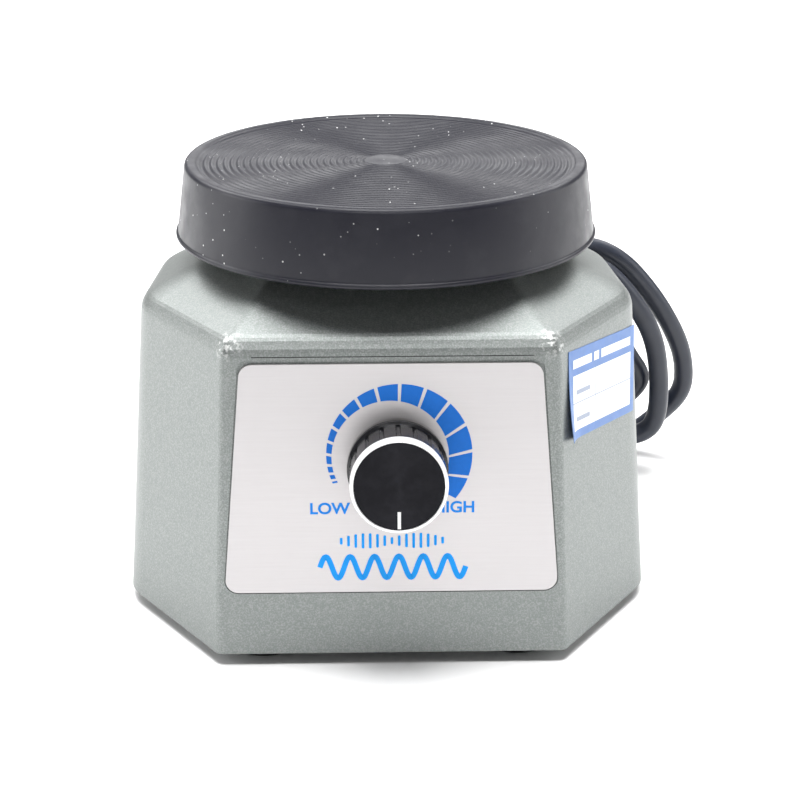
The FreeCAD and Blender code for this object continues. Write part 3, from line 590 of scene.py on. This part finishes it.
def make_cord():
    curve = bpy.data.curves.new("mains_cord", "CURVE")
    curve.dimensions = "3D"
    curve.bevel_depth = CORD_DIAMETER / 2
    curve.bevel_resolution = 6
    curve.use_fill_caps = True
    curve.resolution_u = 8
    route = cord_route()
    spline = curve.splines.new("NURBS")
    spline.points.add(len(route) - 1)
    for point, place in zip(spline.points, route):
        point.co = (*place, 1)
    spline.order_u = 3
    spline.use_endpoint_u = True
    piece = bpy.data.objects.new("mains_cord", curve)
    bpy.context.scene.collection.objects.link(piece)
    finish_piece(piece, "cord_sheath", "base")
    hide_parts("cord_lead", "cord_hank", "cord_tail")
    return piece, route[0]


# ---- rubber table -------------------------------------------------------------------------
def make_rubber_cap():
    """Skirted cap with concentric grooves inside a raised lip."""
    lip, top = CAP_LOW.z, CAP_HIGH.z
    plane = top - 0.6 * MM
    pitch, depth, first, count, steps = 1.7 * MM, 0.55 * MM, 5.3 * MM, 25, 6
    profile = [(0, plane), (3.0 * MM, plane), (first - 0.3 * MM, plane - 0.05 * MM)]
    for i in range(count * steps + 1):
        wave = 0.5 - 0.5 * math.cos(2 * math.pi * i / steps)
        profile.append((first + pitch * i / steps, plane - depth * wave))
    profile += [(48.1 * MM, plane - 0.1 * MM), (48.4 * MM, plane + 0.25 * MM), (48.8 * MM, top - 0.05 * MM),
                (49.4 * MM, top)]
    profile += arc(50.1 * MM, top - 1.4 * MM, 1.4 * MM, 80, 6, 6)
    profile += [(52.4 * MM, top - 9 * MM), (53.45 * MM, lip + 1.6 * MM), (53.45 * MM, lip + 1.3 * MM)]
    profile += arc(53.35 * MM, lip + 0.65 * MM, 0.65 * MM, 60, -90, 8)
    profile += [(49.0 * MM, lip), (46.0 * MM, lip + 1.2 * MM), (46.0 * MM, 98.0 * MM),
                (47.5 * MM, 98.0 * MM), (47.5 * MM, 110.6 * MM), (0, 110.6 * MM)]
    cap = lathe("table_cap", profile, 224, Matrix.Translation(AXIS))
    finish_piece(cap, "table_rubber", "table")
    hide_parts("rubber_cap")


# ---- printing on the front panel ----------------------------------------------------------
PRINT_LOW, PRINT_HIGH = PANEL_FRONT + 0.01 * MM, PANEL_FRONT + 0.04 * MM


def circle_reach(pivot, direction, centre, radius):
    """How far from the pivot a ray meets a circle."""
    offset = pivot - centre
    along = offset.dot(direction)
    return -along + math.sqrt(along * along - offset.dot(offset) + radius * radius)


def make_scale():
    """Growing blue segments clockwise round the knob."""
    pivot = Vector((1.3, 47.7)) * MM
    inner, inner_radius = Vector((-0.26, 50.75)) * MM, 14.22 * MM
    outer, outer_radius = Vector((1.94, 51.4)) * MM, 17.72 * MM
    count, start, total, gap, chords = 16, -104.0, 223.2, 0.7 * MM, 6
    widths = [4.0 + 17.5 * (i / (count - 1)) ** 0.8 for i in range(count)]
    unit = total / sum(widths)
    pieces, angle = [], start
    for i, width in enumerate(widths):
        end = angle + width * unit
        trim = math.degrees(gap / 2 / (17.0 * MM))
        low, high = math.radians(angle + trim), math.radians(end - trim)
        points = []
        for circle, radius, order in ((inner, inner_radius, (0, 1)), (outer, outer_radius, (1, 0))):
            for k in range(chords + 1):
                share = order[0] + (order[1] - order[0]) * k / chords
                turn = low + (high - low) * share
                ray = Vector((math.sin(turn), math.cos(turn)))
                points.append(tuple(pivot + ray * circle_reach(pivot, ray, circle, radius)))
        pieces.append(plate("scale_%02d" % i, list(reversed(points)), PRINT_LOW, PRINT_HIGH, FACE))
        angle = end
    scale = joined("printed_scale", pieces)
    finish_piece(scale, "panel_metal", "base", BLUE_SCALE)


def make_word(text, x0, x1, base, height, name):
    curve = bpy.data.curves.new(name, "FONT")
    curve.body = text
    curve.offset = 0.028
    source = bpy.data.objects.new(name + "_source", curve)
    bpy.context.scene.collection.objects.link(source)
    bpy.context.view_layer.update()
    mesh = bpy.data.meshes.new_from_object(source.evaluated_get(bpy.context.evaluated_depsgraph_get()))
    bpy.data.objects.remove(source)
    xs = [v.co.x for v in mesh.vertices]
    ys = [v.co.y for v in mesh.vertices]
    scale_x, scale_y = (x1 - x0) / (max(xs) - min(xs)), height / (max(ys) - min(ys))
    left, low = min(xs), min(ys)
    for vertex in mesh.vertices:
        vertex.co = ((vertex.co.x - left) * scale_x + x0, (vertex.co.y - low) * scale_y + base, PRINT_HIGH)
    piece = bpy.data.objects.new(name, mesh)
    piece.matrix_world = FACE
    bpy.context.scene.collection.objects.link(piece)
    finish_piece(piece, "panel_metal", "base", BLUE_WORD)


def make_recess_shadow_strip():
    """Painted shadow: a dark strip along the upper edge of the panel's recess, where the recess's lip casts
    its shade.
    """
    chords = 12
    run = [((-33.5 + 68.0 * i / chords) * MM, 75.8 * MM) for i in range(chords + 1)]
    # dark strip on the recess floor: painted shadow under the recess's upper lip
    gap = ribbon("recess_shadow_strip", run, 0.42 * MM, -0.79 * MM, -0.72 * MM, FACE)
    finish_piece(gap, "cast_paint", "base", RECESS_SHADOW_DARK)


def make_panel_mark():
    """A generic vibration sign: a row of bars over a bold wave."""
    bars = []
    middle, half_width, bar_count = 29.35 * MM, 0.34 * MM, 15
    for i in range(bar_count):
        x = (-12.3 + 24.8 * i / (bar_count - 1)) * MM
        half = (0.9 + 1.1 * abs(math.sin(math.pi * i / 7))) * MM
        outline = rounded_rectangle(x - half_width, x + half_width, middle - half, middle + half,
                                    0.3 * MM, 3)
        bars.append(plate("bar_%02d" % i, outline, PRINT_LOW, PRINT_HIGH, FACE))
    finish_piece(joined("mark_bars", bars), "panel_metal", "base", BLUE_MARK)
    wave = []
    cycles, chords = 6, 144
    for i in range(chords + 1):
        share = i / chords
        x = (-17.6 + 35.8 * share) * MM
        wave.append((x, (22.55 + 2.8 * math.sin(2 * math.pi * cycles * share)) * MM))
    finish_piece(ribbon("mark_wave", wave, 1.35 * MM, PRINT_LOW, PRINT_HIGH, FACE),
                 "panel_metal", "base", BLUE_MARK)


# ---- inspection label ---------------------------------------------------------------------
FILM = (0.03 * MM, 0.16 * MM)                 # lower and upper faces of the film and its printing
ON_FILM = (0.165 * MM, 0.18 * MM)
ON_FIELD = (0.185 * MM, 0.195 * MM)
CURL_REACH, CURL_HEIGHT = 8.0 * MM, 1.8 * MM
BEND_START, BEND_DIAMETER = 16.0 * MM, 60.0 * MM


def label_lift(x, y):
    """How far the sticker stands off the flat: one corner curls away, the far end bends down."""
    from_edge = (x + LABEL_WIDTH / 2) + 0.35 * y
    curl = max(0.0, 1.0 - from_edge / CURL_REACH)
    over = max(0.0, x - BEND_START)
    return CURL_HEIGHT * curl * curl - over * over / BEND_DIAMETER


def bent_sheet(name, x0, x1, y0, y1, levels, columns, rows):
    """Rectangle of the sticker, bent with it, as a closed sheet."""
    verts, faces = [], []
    for level in levels:
        for j in range(rows + 1):
            for i in range(columns + 1):
                x, y = x0 + (x1 - x0) * i / columns, y0 + (y1 - y0) * j / rows
                verts.append((x, y, level + label_lift(x, y)))
    wide = columns + 1
    layer = wide * (rows + 1)
    for j in range(rows):
        for i in range(columns):
            a = j * wide + i
            faces.append((a, a + wide, a + wide + 1, a + 1))
            faces.append((layer + a, layer + a + 1, layer + a + wide + 1, layer + a + wide))
    edge = list(range(wide)) + [j * wide + columns for j in range(1, rows + 1)]
    edge += [rows * wide + i for i in range(columns - 1, -1, -1)]
    edge += [j * wide for j in range(rows - 1, 0, -1)]
    for a, b in zip(edge, edge[1:] + edge[:1]):
        faces.append((a, b, layer + b, layer + a))
    return add_mesh(name, verts, faces, LABEL, smooth=False)


def make_label():
    half = LABEL_WIDTH / 2
    side, bottom, top = 2.6 * MM, 2.1 * MM, 15.9 * MM
    film = bent_sheet("label_film", -half, half, 0, LABEL_HEIGHT, FILM, 44, 28)
    finish_piece(film, "label_film", "base")
    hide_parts("inspection_label")
    field = bent_sheet("label_field", side - half, half - side, bottom, top, ON_FILM, 44, 20)
    finish_piece(field, "label_film", "base", LABEL_WHITE)
    rules = [bent_sheet("rule", side - half, half - side, 8.8 * MM, 9.05 * MM, ON_FIELD, 20, 1),
             bent_sheet("rule", -4.2 * MM, -3.95 * MM, bottom, top, ON_FIELD, 1, 16)]
    for y in (4.2 * MM, 11.0 * MM):
        rules.append(bent_sheet("rule", -15.0 * MM, -7.2 * MM, y, y + 1.1 * MM, ON_FIELD, 10, 2))
    finish_piece(joined("label_rules", rules), "label_film", "base", LABEL_GREY)
    bars = []
    for x0, x1 in ((-17.0, -6.4), (-5.0, -2.2), (-0.8, 16.6)):
        bars.append(bent_sheet("heading", x0 * MM, x1 * MM, 17.7 * MM, 19.9 * MM, ON_FILM, 8, 2))
    finish_piece(joined("label_heading", bars), "label_film", "base", LABEL_WHITE)


# ---- assembly -----------------------------------------------------------------------------
make_camera()
make_floor()
make_lights()
finish_cad_nodes()
cord, cord_exit = make_cord()
make_rubber_cap()
make_scale()
make_word("LOW", -19.8 * MM, -10.05 * MM, 36.3 * MM, 3.0 * MM, "word_low")
make_word("HIGH", 10.3 * MM, 20.2 * MM, 36.4 * MM, 3.0 * MM, "word_high")
make_panel_mark()
make_recess_shadow_strip()
make_label()
